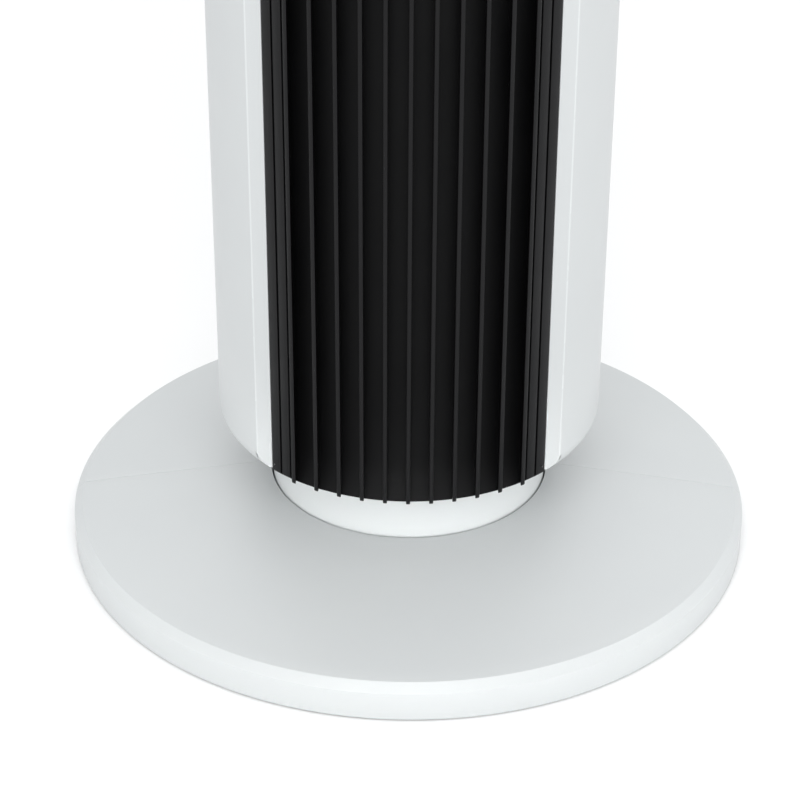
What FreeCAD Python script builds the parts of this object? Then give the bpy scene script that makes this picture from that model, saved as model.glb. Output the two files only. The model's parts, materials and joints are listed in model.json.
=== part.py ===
import FreeCAD, Part
import math
import os
from FreeCAD import Vector

# Tower fan, millimetres.  +Z is up, the air leaves towards -Y, and the origin is
# on the ground under the centre of the round base.

# Round base
baseRadius = 150.0
baseLift = 0.8
rimTop = 13.4
bevelRadius = 146.4
bevelTop = 17.0
hubRadius = 61.1
hubTop = 29.4
baseWall = 2.6
baseCrown = 0.4
shelfInner = 40.0
shelfBottom = 10.0
shelfTop = 13.0
seamGap = 0.1
baseRibCount = 12
footCount = 8
footCircle = 132.0
footRadius = 8.0
footHeight = 2.0
baseScrewCircle = 50.0
baseScrewHead = 7.4
baseScrewTip = 28.0
cordHeight = 7.4
cordBore = 3.25

# Pedestal that the tower turns on
collarRadius = 60.8
collarTopRadius = 60.0
deckTop = 57.5
deckThickness = 3.0
postRadius = 16.0
postBore = 12.0
postTop = 83.0
washerTop = 59.0
retainerScrewCircle = 14.0

# Oscillation gears
gearModule = 1.25
ringTeeth = 48
pinionTeeth = 14
pressureAngle = math.radians(20)
toothBacklash = 0.12
gearBottom = 77.0
gearTop = 83.0
pinionY = gearModule * (ringTeeth + pinionTeeth) / 2
retainerTop = 84.5
bracketBottom = 88.5
bracketTop = 91.0
legTop = 89.0
swingMotorEarX = 29.5
swingMotorTop = 110.0
pinionShaftTop = 99.0

# Tower body
bodyRadius = 83.5
bodyWall = 2.5
bodyBottom = 59.0
bodyEdge = 8.0
capJoint = 930.0
bodyTop = 960.0
innerRadius = bodyRadius - bodyWall
shellLip = 74.0
shellSplit = 105.0
creaseX = 64.0
openingX = 57.6
openingY = -56.0
openingTop = 900.0
floorPlateBottom = 62.0
floorPlateTop = 65.0
floorPlateRadius = 75.3
motorDeckBottom = 285.0
motorDeckTop = 288.0
topDeckBottom = 856.0
topDeckTop = 860.0
frontClear = 72.4
grilleBay = 63.0
shellScrewX = 66.0
shellScrewHeights = (105.0, 265.0, 880.0)
shellScrewSeatY = 31.0
floorScrewTip = 80.0
eyeHeight = 915.0
eyeRadius = 4.0

# Front grille
grilleX = 57.4
grilleBottom = 60.0
grilleTop = 899.6
grilleLipRadius = 80.0
grilleFloorRadius = 75.0
grilleFlare = 16.0
grilleWall = 2.0
ribPitch = 9.6
ribWidth = 1.7
ribTipRadius = 82.9
ribSideCount = 5
bandRadius = 80.6
outletBottom = 300.0
outletTop = 850.0
outletSlotWidth = 5.4

# Rear air intake and hand grip
intakeHalfAngle = 52.0
intakeBottom = 305.0
intakeTop = 845.0
intakeSlots = 20
intakeSlotWidth = 3.6
gripX = 46.0
gripBottom = 871.0
gripTop = 919.0
intakeMargin = 8.0
intakeBars = 8
intakeBarDrop = 0.8
gripFloorY = 44.0
gripWall = 2.0

# Cross-flow wheel and motor
wheelRadius = 50.0
wheelInner = 38.0
wheelBottom = 300.0
wheelTop = 845.0
wheelBlades = 26
wheelDiscs = 7
shaftRadius = 4.0
runningGap = 0.05
motorRadius = 44.0
motorBottom = 205.0
motorTop = 267.0
statorBottom = 222.0
statorTop = 250.0
mountCircle = 53.0
mountAngles = (55.0, 125.0, 235.0, 305.0)
mountEarBottom = 259.0
mountEarTop = 262.0
capacitorX = -40.0
capacitorY = -36.0
capacitorTop = 108.0

# Control panel
panelRadius = 57.7
panelTop = 959.2
panelBottom = 955.6
buttonCircle = 38.0
buttonSpacing = 28.0
buttonRadius = 6.3
boardTop = 945.6
boardThickness = 1.6
lensX = 23.8
lensFront = 6.2
lensRear = 23.8

# Power board, standing on the tower floor
powerBoardFront = -40.0
powerBoardRear = -38.4
powerBoardTop = 150.0


def box(x0, x1, y0, y1, z0, z1):
    return Part.makeBox(x1 - x0, y1 - y0, z1 - z0, Vector(x0, y0, z0))


def rod(radius, z0, z1, x=0.0, y=0.0):
    return Part.makeCylinder(radius, z1 - z0, Vector(x, y, z0))


def rodY(radius, y0, y1, x, z):
    return Part.makeCylinder(radius, y1 - y0, Vector(x, y0, z), Vector(0, 1, 0))


def tube(inner, outer, z0, z1, x=0.0, y=0.0):
    return rod(outer, z0, z1, x, y).cut(rod(inner, z0 - 1, z1 + 1, x, y))


def polar(radius, degrees):
    return radius * math.cos(math.radians(degrees)), radius * math.sin(math.radians(degrees))


def ring(count, radius, start=0.0):
    return [polar(radius, start + 360.0 * i / count) for i in range(count)]


def fuse(shapes):
    first, *rest = shapes
    return first.multiFuse(rest).removeSplitter() if rest else first


def cut(shape, tools):
    return shape.cut(Part.makeCompound(tools))


def outline(start, steps):
    # a step is an end point, or a middle point and an end point for an arc
    edges = []
    here = start
    for step in list(steps) + [start]:
        if isinstance(step[0], tuple):
            middle, end = step
            edges.append(Part.Arc(Vector(*here), Vector(*middle), Vector(*end)).toShape())
        else:
            end = step
            edges.append(Part.LineSegment(Vector(*here), Vector(*end)).toShape())
        here = end
    return Part.Face(Part.Wire(edges))


def turned(start, steps):
    # the profile holds radius and height, and turns about the Z axis
    def lift(point):
        return (point[0], 0.0, point[1])

    lifted = [tuple(lift(p) for p in s) if isinstance(s[0], tuple) else lift(s) for s in steps]
    return outline(lift(start), lifted).revolve(Vector(0, 0, 0), Vector(0, 0, 1), 360)


def extruded(start, steps, z0, z1):
    def lift(point):
        return (point[0], point[1], z0)

    lifted = [tuple(lift(p) for p in s) if isinstance(s[0], tuple) else lift(s) for s in steps]
    return outline(lift(start), lifted).extrude(Vector(0, 0, z1 - z0))


def mirrorX(shape):
    return shape.mirror(Vector(0, 0, 0), Vector(1, 0, 0))


def wedge(halfAngle, facing, z0, z1):
    # everything within halfAngle of the direction "facing", measured about Z
    reach = 2 * bodyRadius
    rim = [polar(reach, facing - halfAngle + halfAngle * i / 2) for i in range(5)]
    return extruded((0.0, 0.0), rim, z0, z1)


def screw(x, y, headBottom, shankTop, headRadius, shankRadius, headHeight):
    head = rod(headRadius, headBottom, headBottom + headHeight, x, y)
    shank = rod(shankRadius, headBottom + headHeight, shankTop, x, y)
    drive = rod(shankRadius * 0.6, headBottom - 1, headBottom + headHeight / 2, x, y)
    return head.fuse(shank).cut(drive)


def screwDown(x, y, shankBottom, headBottom, headRadius, shankRadius, headHeight):
    head = rod(headRadius, headBottom, headBottom + headHeight, x, y)
    shank = rod(shankRadius, shankBottom, headBottom, x, y)
    drive = rod(shankRadius * 0.6, headBottom + headHeight / 2, headBottom + headHeight + 1, x, y)
    return head.fuse(shank).cut(drive)


def save(name, shapes):
    shape = Part.makeCompound(shapes) if isinstance(shapes, list) else shapes
    solids = shape.Solids
    if not solids or not shape.isValid():
        raise RuntimeError("bad solid: " + name)
    result = solids[0] if len(solids) == 1 else Part.makeCompound(solids)
    result.exportStep("parts/" + name + ".step")
    size = result.BoundBox
    print(f"{name:24s} {len(solids):3d} solids {size.XLength:7.1f} {size.YLength:7.1f} {size.ZLength:7.1f}")


# ---- base ----

def baseSkinMiddle(drop):
    middle = (bevelRadius + hubRadius) / 2
    return (middle, (bevelTop + hubTop) / 2 + baseCrown - drop)


def baseDisc():
    wallInner = baseRadius - baseWall
    hubOuter = hubRadius + baseWall
    steps = [
        (baseRadius, baseLift),
        (baseRadius, rimTop),
        (bevelRadius, bevelTop),
        (baseSkinMiddle(0), (hubRadius, hubTop)),
        (hubRadius, shelfTop),
        (shelfInner, shelfTop),
        (shelfInner, shelfBottom),
        (hubOuter, shelfBottom),
        (hubOuter, hubTop - baseWall - 0.4),
        (baseSkinMiddle(baseWall), (bevelRadius - 1.2, bevelTop - baseWall)),
        (wallInner, rimTop - 1.4),
    ]
    return turned((wallInner, baseLift), steps)


def baseUnderside():
    # the room under the skin that ribs and bosses may fill
    hubOuter = hubRadius + baseWall / 2
    steps = [
        (baseRadius - baseWall / 2, footHeight),
        (baseRadius - baseWall / 2, rimTop),
        (bevelRadius - 1.2, bevelTop - baseWall / 2),
        (baseSkinMiddle(baseWall / 2), (hubOuter, hubTop - baseWall / 2)),
    ]
    return turned((hubOuter, footHeight), steps)


def baseWhole():
    room = baseUnderside()
    ribs = []
    for i in range(baseRibCount):
        rib = box(hubRadius, baseRadius - 1, -1.0, 1.0, footHeight + 1, hubTop)
        rib.rotate(Vector(0, 0, 0), Vector(0, 0, 1), 360.0 * (i + 0.5) / baseRibCount)
        ribs.append(rib.common(room))
    feet = []
    for x, y in ring(footCount, footCircle, 22.5):
        boss = rod(footRadius + 1, footHeight, hubTop, x, y).common(room)
        feet.append(boss.cut(rod(footRadius - 2, footHeight + 2, hubTop, x, y).common(baseHollow())))
    screwHoles = [rod(2.2, 0, 20, x, y) for x, y in ring(4, baseScrewCircle, 45)]
    inletHole = rodY(4.6, baseRadius - 12, baseRadius + 5, 0, cordHeight)
    return cut(fuse([baseDisc()] + ribs + feet), screwHoles + [inletHole])


def baseHollow():
    # the same room, one skin thickness lower, so a hollow boss stays closed on top
    return turned((hubRadius, 0), [
        (baseRadius - baseWall, 0),
        (baseRadius - baseWall, rimTop - 1.4),
        (bevelRadius - 1.2, bevelTop - baseWall),
        (baseSkinMiddle(baseWall), (hubRadius, hubTop - baseWall)),
    ])


def makeBase():
    whole = baseWhole()
    reach = baseRadius + 5
    save("base_front_half", whole.common(box(-reach, reach, -reach, -seamGap / 2, -1, 40)))
    save("base_rear_half", whole.common(box(-reach, reach, seamGap / 2, reach, -1, 40)))
    save("rubber_feet", [rod(footRadius, 0, footHeight, x, y) for x, y in ring(footCount, footCircle, 22.5)])
    spots = ring(4, baseScrewCircle, 45)
    screws = [screw(x, y, baseScrewHead, baseScrewTip, 3.8, 2.0, 2.6) for x, y in spots]
    save("base_screws", screws)


def makeCordInlet():
    outerEnd = baseRadius - 0.1
    body = rodY(4.5, baseRadius - 9, outerEnd, 0, cordHeight)
    flange = rodY(6.2, baseRadius - 9, baseRadius - 6, 0, cordHeight)
    bore = rodY(cordBore, baseRadius - 12, baseRadius + 3, 0, cordHeight)
    save("cord_inlet", body.fuse(flange).cut(bore))


# ---- pedestal ----

def makePedestal():
    wall = baseWall + 0.4
    shell = turned((collarRadius, shelfTop), [
        (collarRadius, hubTop),
        (collarTopRadius, deckTop - 2),
        ((collarTopRadius - 0.6, deckTop - 0.6), (collarTopRadius - 2, deckTop)),
        (postRadius, deckTop),
        (postRadius, postTop),
        (postBore, postTop),
        (postBore, deckTop - deckThickness),
        (collarTopRadius - wall, deckTop - deckThickness),
        (collarRadius - wall, shelfTop),
    ])
    bosses = [rod(4.6, shelfTop, deckTop - 1, x, y) for x, y in ring(4, baseScrewCircle, 45)]
    holes = [rod(2.05, shelfTop - 1, baseScrewTip + 1, x, y) for x, y in ring(4, baseScrewCircle, 45)]
    holes += [rod(1.3, postTop - 9, postTop + 1, x, y) for x, y in ring(3, retainerScrewCircle, 90)]
    save("pedestal", cut(fuse([shell] + bosses), holes))
    save("thrust_washer", tube(postRadius + 1, 36, deckTop, washerTop))


def gearFace(teeth, firstTooth):
    # outline of an involute gear, one tooth centred on the angle firstTooth
    pitch = gearModule * teeth / 2
    base = pitch * math.cos(pressureAngle)
    tip = pitch + 0.9 * gearModule
    root = pitch - 1.25 * gearModule
    halfTooth = (math.pi * gearModule / 2 - toothBacklash) / (2 * pitch)
    involutePitch = math.tan(pressureAngle) - pressureAngle
    flank = []
    start = max(base, root)
    for i in range(5):
        radius = start + (tip - start) * i / 4
        rolled = math.acos(min(1.0, base / radius))
        flank.append((radius, halfTooth + involutePitch - (math.tan(rolled) - rolled)))
    if root < base:
        flank.insert(0, (root, flank[0][1]))
    points = []
    for i in range(teeth):
        centre = math.radians(firstTooth) + 2 * math.pi * i / teeth
        side = [(r, centre - a) for r, a in flank] + [(r, centre + a) for r, a in reversed(flank)]
        points += [Vector(r * math.cos(a), r * math.sin(a), 0) for r, a in side]
    return Part.Face(Part.makePolygon(points + [points[0]]))


def makeOscillationGears():
    gear = gearFace(ringTeeth, 0.0).extrude(Vector(0, 0, gearTop - gearBottom))
    gear.translate(Vector(0, 0, gearBottom))
    save("ring_gear", gear.cut(rod(postRadius + 0.02, 0, 200)))
    spots = ring(3, retainerScrewCircle, 90)
    plate = tube(postBore + 0.5, 22, gearTop, retainerTop)
    save("gear_retainer", cut(plate, [rod(1.4, gearTop - 1, retainerTop + 1, x, y) for x, y in spots]))
    save("retainer_screws", [screwDown(x, y, postTop - 8, retainerTop, 2.2, 1.25, 1.8) for x, y in spots])
    pinion = gearFace(pinionTeeth, 270 + 180 / pinionTeeth).extrude(Vector(0, 0, gearTop - gearBottom))
    pinion.translate(Vector(0, pinionY, gearBottom))
    save("drive_pinion", pinion.fuse(rod(3.0, gearTop, pinionShaftTop, 0, pinionY)))


# ---- tower floor and swing drive ----

def clearOfGrille(shape, z0, z1):
    corner = rod(bodyRadius + 5, z0 - 1, z1 + 1).cut(rod(frontClear, z0 - 2, z1 + 2))
    return shape.cut(corner.common(box(-grilleBay, grilleBay, -100, 0, z0 - 1, z1 + 1)))


floorScrewSpots = [polar(70.0, a) for a in (25, 90, 155)]
legSpots = [(-30.0, 56.0), (30.0, 56.0), (-44.0, 20.0), (44.0, 20.0)]


def makeTowerFloor():
    plate = rod(floorPlateRadius, floorPlateBottom, floorPlateTop)
    hub = rod(25, washerTop + 0.1, 76)
    floor = clearOfGrille(plate, floorPlateBottom, floorPlateTop).fuse(hub)
    ribs = []
    for i in range(4):
        rib = box(22, 62, -1.2, 1.2, floorPlateTop - 1, floorPlateTop + 5)
        rib.rotate(Vector(0, 0, 0), Vector(0, 0, 1), 90.0 * i)
        ribs.append(rib)
    holes = [rod(20, 0, 100)] + [rod(2.2, 50, 70, x, y) for x, y in floorScrewSpots]
    save("tower_floor", cut(fuse([floor] + ribs), holes))
    save("pivot_bush", tube(postRadius + runningGap, 20, washerTop + 0.1, 76))
    heads = [screw(x, y, floorPlateBottom - 2.4, floorScrewTip, 3.6, 2.0, 2.4) for x, y in floorScrewSpots]
    save("floor_screws", heads)


def makeSwingDrive():
    plate = extruded((-50.0, 14.0), [
        (50.0, 14.0),
        (50.0, 30.0),
        (36.0, 62.0),
        (-36.0, 62.0),
        (-50.0, 30.0),
    ], bracketBottom, bracketTop)
    earTop = bracketTop + 1.5
    earX = (-swingMotorEarX, swingMotorEarX)
    legs = [rod(4, floorPlateTop, legTop, x, y) for x, y in legSpots]
    holes = [rod(11.5, bracketBottom - 1, bracketTop + 1, 0, pinionY)]
    holes += [rod(1.6, bracketBottom - 1, bracketTop + 1, x, pinionY) for x in earX]
    save("swing_bracket", cut(fuse([plate] + legs), holes))
    can = rod(24.5, bracketTop, swingMotorTop, 0, pinionY)
    ears = box(-34, 34, pinionY - 5, pinionY + 5, bracketTop, earTop)
    boss = rod(6, swingMotorTop, swingMotorTop + 2, 0, pinionY)
    holes = [rod(3.0 + runningGap, bracketBottom, pinionShaftTop + 2, 0, pinionY)]
    holes += [rod(1.7, bracketBottom, earTop + 1, x, pinionY) for x in earX]
    save("swing_motor", cut(fuse([can, ears, boss]), holes))
    save("swing_motor_screws", [screwDown(x, pinionY, 86, earTop, 2.8, 1.5, 2.0) for x in earX])


# ---- housing ----

def shellTurned():
    # wall with a rounded lower edge, an inner lip and the ledges for both decks
    corner = bodyEdge * (1 - math.sqrt(0.5))
    innerReach = (bodyEdge - bodyWall - 0.25) * math.sqrt(0.5)
    innerCorner = (bodyRadius - bodyEdge + innerReach, bodyBottom + bodyEdge - innerReach)
    return turned((shellLip, bodyBottom), [
        (bodyRadius - bodyEdge, bodyBottom),
        ((bodyRadius - corner, bodyBottom + corner), (bodyRadius, bodyBottom + bodyEdge)),
        (bodyRadius, capJoint),
        (innerRadius, capJoint),
        (innerRadius, topDeckBottom),
        (innerRadius - 3, topDeckBottom),
        (innerRadius, topDeckBottom - 5),
        (innerRadius, motorDeckBottom),
        (innerRadius - 3, motorDeckBottom),
        (innerRadius, motorDeckBottom - 5),
        (innerRadius, bodyBottom + bodyEdge),
        (innerCorner, (bodyRadius - bodyEdge, floorPlateBottom)),
        (shellLip, floorPlateBottom),
    ])


def creaseY(radius):
    return -math.sqrt(radius ** 2 - creaseX ** 2)


def bodyEnvelope():
    corner = bodyEdge * (1 - math.sqrt(0.5))
    return turned((0.0, bodyBottom), [
        (bodyRadius - bodyEdge, bodyBottom),
        ((bodyRadius - corner, bodyBottom + corner), (bodyRadius, bodyBottom + bodyEdge)),
        (bodyRadius, capJoint),
        (0.0, capJoint),
    ])


def sideStrip():
    # the flat strip between the crease and the grille, with its return behind the grille
    strip = extruded((creaseX + 4, creaseY(bodyRadius) + 1), [
        (creaseX, creaseY(bodyRadius)),
        (openingX, openingY),
        (openingX, openingY + 8),
        (openingX + 2.2, openingY + 8),
        (openingX + 2.2, openingY + 2.6),
        (creaseX + 1, creaseY(innerRadius) + 1),
        (creaseX + 4, creaseY(innerRadius) + 4),
    ], bodyBottom, openingTop + 6)
    return strip.common(bodyEnvelope())


def frontFaceCut():
    # what the crease line and the strip plane take off the round wall
    return extruded((-creaseX, creaseY(bodyRadius)), [
        (-openingX, openingY),
        (openingX, openingY),
        (creaseX, creaseY(bodyRadius)),
        (creaseX, -bodyRadius - 5),
        (-creaseX, -bodyRadius - 5),
    ], bodyBottom - 1, openingTop)


def shellBoss(x, z):
    web = box(0, 16, 0, 19.7, z - 1.5, z + 1.5)
    web.translate(Vector(x if x > 0 else x - 16, 0, 0))
    boss = rodY(5, 0, 19.7, x, z).fuse(web)
    return boss.common(rod(innerRadius + 1, 0, bodyTop)).cut(rodY(2.05, 5, 25, x, z))


def makeFrontHousing():
    shell = shellTurned().common(wedge(shellSplit - 0.1, 270, 0, bodyTop))
    opening = box(-openingX, openingX, -100, -30, bodyBottom - 1, openingTop)
    shell = shell.cut(frontFaceCut()).cut(opening)
    strips = [sideStrip(), mirrorX(sideStrip())]
    bosses = [shellBoss(x, z) for z in shellScrewHeights for x in (-shellScrewX, shellScrewX)]
    eyeHole = rodY(eyeRadius + 0.1, -100, -60, 0, eyeHeight)
    save("front_housing", fuse([shell] + strips + bosses).cut(eyeHole))
    eye = rodY(eyeRadius, -bodyRadius + 0.3, -78, 0, eyeHeight)
    save("remote_window", eye.fuse(rodY(eyeRadius + 1.2, -80.2, -78, 0, eyeHeight)))


def makeRearHousing():
    shell = shellTurned().common(wedge(180 - shellSplit - 0.1, 90, 0, bodyTop))
    intake = wedge(intakeHalfAngle + 0.2, 90, intakeBottom - 0.3, intakeTop + 0.3)
    grip = box(-gripX, gripX, 40, 100, gripBottom, gripTop)
    shell = shell.cut(intake).cut(grip)
    solids = [shell]
    holes = []
    for z in shellScrewHeights:
        for x in (-shellScrewX, shellScrewX):
            solids.append(rodY(6, 20, 60, x, z).common(rod(bodyRadius - 0.5, 0, bodyTop)))
            holes.append(rodY(4, shellScrewSeatY, 80, x, z))
            holes.append(rodY(2.2, 15, 40, x, z))
    for x, y in floorScrewSpots:
        column = rod(5, floorPlateTop, 90, x, y)
        web = box(0, 12, -1.5, 1.5, floorPlateTop, 90)
        web.rotate(Vector(0, 0, 0), Vector(0, 0, 1), math.degrees(math.atan2(y, x)))
        web.translate(Vector(x, y, 0))
        solids.append(column.fuse(web).common(rod(innerRadius + 1, 0, bodyTop)))
        holes.append(rod(2.05, floorPlateTop - 1, floorScrewTip + 2, x, y))
    save("rear_housing", cut(fuse(solids), holes))
    screws = []
    for z in shellScrewHeights:
        for x in (-shellScrewX, shellScrewX):
            seat = shellScrewSeatY
            driven = rodY(3.4, seat, seat + 2.6, x, z).fuse(rodY(2.0, 8, seat, x, z))
            screws.append(driven.cut(rodY(1.3, seat + 1.2, seat + 9, x, z)))
    save("housing_screws", screws)


def makeIntakeGrille():
    wall = tube(innerRadius, bodyRadius, intakeBottom, intakeTop)
    panel = wall.common(wedge(intakeHalfAngle, 90, 0, bodyTop))
    slots = []
    pitch = 2 * (intakeHalfAngle - 2) / intakeSlots
    for i in range(intakeSlots):
        slot = box(innerRadius - 8, bodyRadius + 8, -intakeSlotWidth / 2, intakeSlotWidth / 2,
                   intakeBottom + intakeMargin, intakeTop - intakeMargin)
        slot.rotate(Vector(0, 0, 0), Vector(0, 0, 1), 90 - intakeHalfAngle + 2 + pitch * (i + 0.5))
        slots.append(slot)
    bars = []
    span = (intakeTop - intakeBottom) / (intakeBars + 1)
    for i in range(1, intakeBars + 1):
        z = intakeBottom + span * i
        bar = tube(innerRadius, bodyRadius - intakeBarDrop, z - 1.5, z + 1.5)
        bars.append(bar.common(wedge(intakeHalfAngle - 1, 90, 0, bodyTop)))
    save("intake_grille", fuse([cut(panel, slots)] + bars))


def makeHandGrip():
    side = gripX + gripWall
    outer = box(-side, side, gripFloorY - gripWall, 90, gripBottom - gripWall, gripTop + gripWall)
    hollow = box(-gripX, gripX, gripFloorY, 100, gripBottom, gripTop)
    cup = outer.common(rod(innerRadius - 0.05, 0, bodyTop)).cut(hollow)
    save("hand_grip", cup)


# ---- front grille ----

def grilleFloor(front, back):
    # wall between two radii whose ends curve forward to the lip
    flareMid = grilleFlare * 0.42
    step = (grilleLipRadius - grilleFloorRadius) * 0.24
    return turned((back, grilleBottom), [
        (front + grilleLipRadius - grilleFloorRadius, grilleBottom),
        ((front + step, grilleBottom + flareMid), (front, grilleBottom + grilleFlare)),
        (front, grilleTop - grilleFlare),
        ((front + step, grilleTop - flareMid), (front + grilleLipRadius - grilleFloorRadius, grilleTop)),
        (back, grilleTop),
    ])


def ribEnvelope(tip, z0, z1, nose):
    inset = nose * (1 - math.sqrt(0.5))
    return turned((grilleFloorRadius - 1, z0), [
        (tip - nose, z0),
        ((tip - inset, z0 + inset), (tip, z0 + nose)),
        (tip, z1 - nose),
        ((tip - inset, z1 - inset), (tip - nose, z1)),
        (grilleFloorRadius - 1, z1),
    ])


def plates(spans, envelope):
    return [box(a, b, -100, -20, 0, bodyTop).common(envelope) for a, b in spans]


def makeFrontGrille():
    reach = box(-grilleX, grilleX, -100, -30, 0, bodyTop)
    floor = grilleFloor(grilleFloorRadius, grilleFloorRadius - grilleWall).common(reach)
    slots = []
    for i in range(-ribSideCount, ribSideCount):
        middle = (i + 0.5) * ribPitch
        slots.append(box(middle - outletSlotWidth / 2, middle + outletSlotWidth / 2, -100, -30,
                         outletBottom, outletTop))
    floor = cut(floor, slots)
    half = ribWidth / 2
    spans = [(i * ribPitch - half, i * ribPitch + half) for i in range(-ribSideCount, ribSideCount + 1)]
    ribs = plates(spans, ribEnvelope(ribTipRadius, grilleBottom - 0.4, grilleTop + 0.2, 2.0))
    bands = []
    for inner, outer in ((49.6, 53.1), (53.7, grilleX)):
        bands += [(inner, outer), (-outer, -inner)]
    bands = plates(bands, ribEnvelope(bandRadius, grilleBottom, grilleTop, 1.0))
    save("front_grille", fuse([floor] + ribs + bands))


# ---- air path ----

def spiralRadius(degrees):
    return wheelRadius + 3 + 18 * ((degrees - 135) / 90) ** 1.5


def makeAirPath():
    angles = [135 + 11.25 * i for i in range(9)]
    edges = []
    for offset in (0.0, 2.0):
        points = [Vector(*polar(spiralRadius(a) + offset, a), 0) for a in angles]
        curve = Part.BSplineCurve()
        curve.interpolate(points)
        edges.append((points, curve.toShape()))
    (inner, innerEdge), (outer, outerEdge) = edges
    ends = [Part.LineSegment(inner[-1], outer[-1]).toShape(), Part.LineSegment(outer[0], inner[0]).toShape()]
    face = Part.Face(Part.Wire(Part.__sortEdges__([innerEdge, outerEdge] + ends)))
    scroll = face.extrude(Vector(0, 0, topDeckBottom - motorDeckTop))
    scroll.translate(Vector(0, 0, motorDeckTop))
    save("scroll_wall", scroll)
    wall = tube(wheelRadius + 4, wheelRadius + 6, motorDeckTop, topDeckBottom)
    wall = wall.common(wedge(38, 0, motorDeckTop, topDeckBottom))
    flangeStart = polar(wheelRadius + 4.4, -37)
    flangeInner = polar(wheelRadius + 5.6, -36)
    flange = extruded(flangeStart, [(55.0, -45.0), (55.6, -43.0), flangeInner], motorDeckTop, topDeckBottom)
    save("tongue_wall", fuse([wall, flange]))


mountSpots = [polar(mountCircle, a) for a in mountAngles]


def makeDecks():
    disc = rod(innerRadius - 0.3, motorDeckBottom, motorDeckTop)
    deck = clearOfGrille(disc, motorDeckBottom, motorDeckTop)
    low, high = motorDeckBottom - 5, motorDeckTop + 5
    holes = [rod(14, low, high)] + [rod(2.5, low, high, x, y) for x, y in mountSpots]
    save("motor_deck", cut(deck, holes))
    disc = rod(innerRadius - 0.3, topDeckBottom, topDeckTop)
    deck = clearOfGrille(disc, topDeckBottom, topDeckTop)
    save("top_deck", deck.cut(rod(12, topDeckBottom - 1, topDeckTop + 1)))


# ---- motor and wheel ----

def motorShell(upper):
    # lower half shell, bearing seat inwards; the upper one is its mirror image
    shell = turned((8.0, motorBottom), [
        (motorRadius - 4, motorBottom),
        ((motorRadius - 1.2, motorBottom + 1.2), (motorRadius, motorBottom + 4)),
        (motorRadius, (motorBottom + motorTop) / 2),
        (motorRadius - 1.8, (motorBottom + motorTop) / 2),
        (motorRadius - 1.8, motorBottom + 5),
        (motorRadius - 4, motorBottom + 2),
        (12.0, motorBottom + 2),
        (12.0, motorBottom + 8),
        (8.0, motorBottom + 8),
    ])
    if not upper:
        return shell
    centre = Vector(0, 0, (motorBottom + motorTop) / 2)
    shell = shell.mirror(centre, Vector(0, 0, 1))
    ears = []
    for angle in mountAngles:
        ear = box(motorRadius - 1, mountCircle + 6, -6, 6, mountEarBottom, mountEarTop)
        ear.rotate(Vector(0, 0, 0), Vector(0, 0, 1), angle)
        ears.append(ear)
    holes = [rod(2.5, mountEarBottom - 1, mountEarTop + 1, x, y) for x, y in mountSpots]
    return cut(fuse([shell] + ears), holes)


def makeMotor():
    save("motor_lower_shell", motorShell(False))
    save("motor_upper_shell", motorShell(True))
    save("stator", tube(30.0, motorRadius - 1.9, statorBottom, statorTop))
    coils = []
    for z0, z1 in ((statorBottom - 7, statorBottom), (statorTop, statorTop + 7)):
        coils.append(turned((31.5, z0), [
            (39.0, z0),
            (40.5, (z0 + z1) / 2),
            (39.0, z1),
            (31.5, z1),
        ]))
    save("stator_windings", coils)
    bearings = []
    for z0 in (motorBottom, motorTop - 8):
        bearings.append(tube(shaftRadius + runningGap, 7.98, z0, z0 + 8))
    save("motor_bearings", bearings)
    save("rotor_core", tube(shaftRadius, 29.4, statorBottom, statorTop))
    save("motor_shaft", rod(shaftRadius, motorBottom - 6, wheelBottom + 16))
    save("motor_bushes", [tube(2.5, 7, mountEarTop, motorDeckBottom, x, y) for x, y in mountSpots])
    heads = [screw(x, y, mountEarBottom - 2.6, motorDeckTop + 8, 4.5, 2.4, 2.6) for x, y in mountSpots]
    save("motor_mount_screws", heads)
    nuts = []
    for x, y in mountSpots:
        corners = ring(6, 4.6) + [(4.6, 0.0)]
        hexagon = Part.makePolygon([Vector(x + a, y + b, motorDeckTop) for a, b in corners])
        nut = Part.Face(hexagon).extrude(Vector(0, 0, 4))
        nuts.append(nut.cut(rod(2.42, motorDeckBottom, motorDeckTop + 5, x, y)))
    save("motor_mount_nuts", nuts)
    case = rod(14, floorPlateTop, capacitorTop, capacitorX, capacitorY)
    save("run_capacitor", case.fuse(rod(11, capacitorTop, capacitorTop + 4, capacitorX, capacitorY)))


def wheelBlade(index):
    # one blade, a slice of a ring that leans forward at the rim
    centre = polar(wheelInner + 7, 0)
    bend = 8.5
    outer = tube(bend, bend + 1.1, wheelBottom + 2, wheelTop - 2, centre[0], centre[1] + 6)
    band = tube(wheelInner, wheelRadius - 0.2, wheelBottom, wheelTop)
    blade = outer.common(band).common(box(30, 60, -20, centre[1] + 6, 0, bodyTop))
    blade.rotate(Vector(0, 0, 0), Vector(0, 0, 1), 360.0 * index / wheelBlades)
    return blade


def makeWheel():
    discs = []
    span = (wheelTop - wheelBottom - 3) / (wheelDiscs - 1)
    for i in range(wheelDiscs):
        z = wheelBottom + span * i
        middle = 0 < i < wheelDiscs - 1
        discs.append(tube(wheelInner - 4 if middle else shaftRadius, wheelRadius, z, z + 3))
    hubs = [
        tube(shaftRadius, 11, wheelBottom - 4, wheelBottom + 16),
        tube(shaftRadius, 11, wheelTop - 12, wheelTop + 3),
    ]
    save("impeller", fuse(discs + hubs + [wheelBlade(i) for i in range(wheelBlades)]))
    save("wheel_axle", rod(shaftRadius, wheelTop - 12, 864))
    save("top_bearing", tube(shaftRadius + runningGap, 8, 852, 863))
    seat = tube(8, 12, 851, 864).fuse(tube(8, 15, topDeckTop, topDeckTop + 3))
    save("bearing_seat", seat)


# ---- control head ----

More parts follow.
